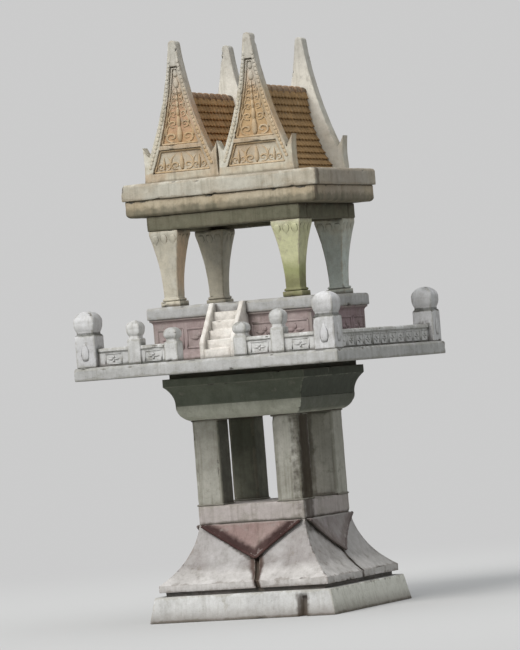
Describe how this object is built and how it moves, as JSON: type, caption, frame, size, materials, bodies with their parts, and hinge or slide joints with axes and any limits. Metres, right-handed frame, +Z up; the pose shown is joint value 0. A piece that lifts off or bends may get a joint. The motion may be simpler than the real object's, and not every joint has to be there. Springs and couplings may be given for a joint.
{
  "type": "spirit house",
  "caption": "Twin-gabled shrine on a railed terrace with a front stair, carried by an open pedestal on a splayed foot.",
  "frame": {"origin": "on the ground under the middle of the house", "axes": "+X to the right along the front, -Y out of the front, +Z up"},
  "size_m": [0.938, 0.938, 1.907],
  "materials": {
    "pedestal_render": "weathered white paint on cast concrete, stained",
    "cornice_render": "algae-stained white paint on cast concrete",
    "terrace_render": "weathered white paint on cast concrete",
    "plinth_paint": "faded mauve paint on render",
    "column_paint": "cream paint on cast concrete, stained",
    "beam_paint": "beige paint on cast concrete, stained",
    "eave_paint": "weathered white paint on cast concrete",
    "gable_paint": "faded gold and cream paint on cast concrete",
    "roof_paint": "faded red-brown paint on cast tile relief"
  },
  "bodies": {
    "root": {"apron_back": "pedestal_render", "apron_front": "pedestal_render", "apron_left": "pedestal_render", "apron_right": "pedestal_render", "beam_back": "beam_paint", "beam_front": "beam_paint", "beam_left": "beam_paint", "beam_right": "beam_paint", "column_back_left": "column_paint", "column_back_right": "column_paint", "column_front_left": "column_paint", "column_front_right": "column_paint", "cornice_lower": "cornice_render", "cornice_upper": "cornice_render", "eave_lower": "eave_paint", "eave_upper": "eave_paint", "foot_base": "pedestal_render", "front_stair": "terrace_render", "gable_back_left": "gable_paint", "gable_back_right": "gable_paint", "gable_front_left": "gable_paint", "gable_front_right": "gable_paint", "ground_slab": "pedestal_render", "house_floor": "terrace_render", "house_plinth": "plinth_paint", "leg_back_left": "pedestal_render", "leg_back_right": "pedestal_render", "leg_front_left": "pedestal_render", "leg_front_right": "pedestal_render", "newel_left": "terrace_render", "newel_right": "terrace_render", "pedestal_sill": "pedestal_render", "post_back_left": "terrace_render", "post_back_right": "terrace_render", "post_front_left": "terrace_render", "post_front_right": "terrace_render", "roof_left": "roof_paint", "roof_right": "roof_paint", "stair_cheeks": "terrace_render", "terrace_slab": "terrace_render", "terrace_wall_back": "terrace_render", "terrace_wall_front_left": "terrace_render", "terrace_wall_front_right": "terrace_render", "terrace_wall_left": "terrace_render", "terrace_wall_right": "terrace_render"}
  },
  "joints": []
}
